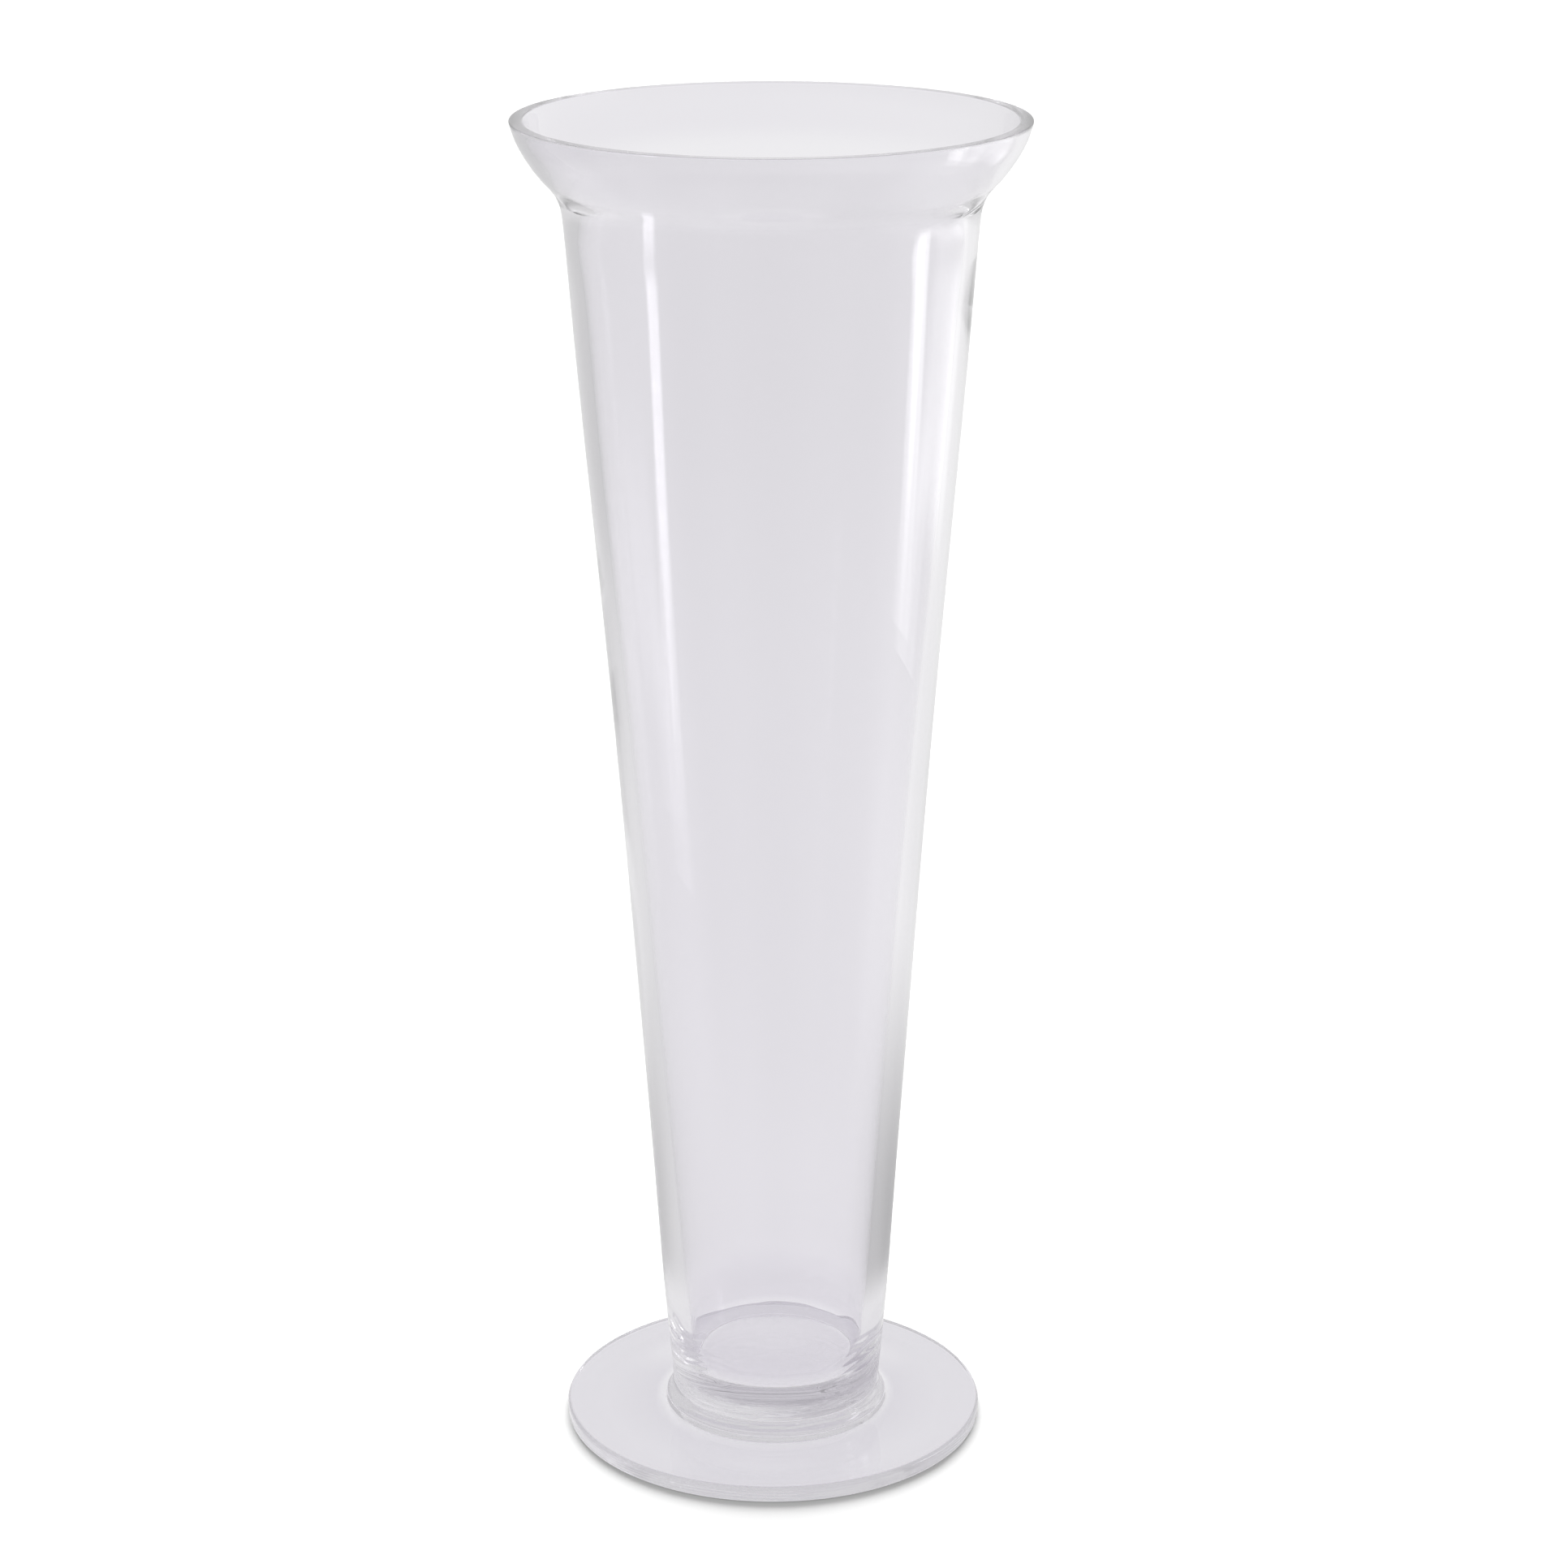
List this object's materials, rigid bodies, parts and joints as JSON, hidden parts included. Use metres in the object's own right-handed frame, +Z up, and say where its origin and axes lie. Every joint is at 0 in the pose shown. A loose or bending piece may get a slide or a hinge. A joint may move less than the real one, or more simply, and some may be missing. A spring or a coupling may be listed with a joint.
{
  "type": "trumpet vase",
  "caption": "Tall clear glass vase: a hollow cone on a solid heel that flares above a crease to a flat cut lip, joined by a collar to a round flat foot.",
  "frame": {"origin": "on the vase's axis, at the surface that its foot rests on", "axes": "+Z up along the vase's axis, from the foot to the lip; it is round about +Z"},
  "size_m": [0.1482, 0.1481, 0.4],
  "materials": {
    "clear_glass": "clear and glossy with a faint lavender-grey tint; fire polished, with a ground and polished lip"
  },
  "bodies": {
    "root": {"vase_body": "clear_glass", "stem_collar": "clear_glass", "foot_disc": "clear_glass"}
  },
  "joints": []
}
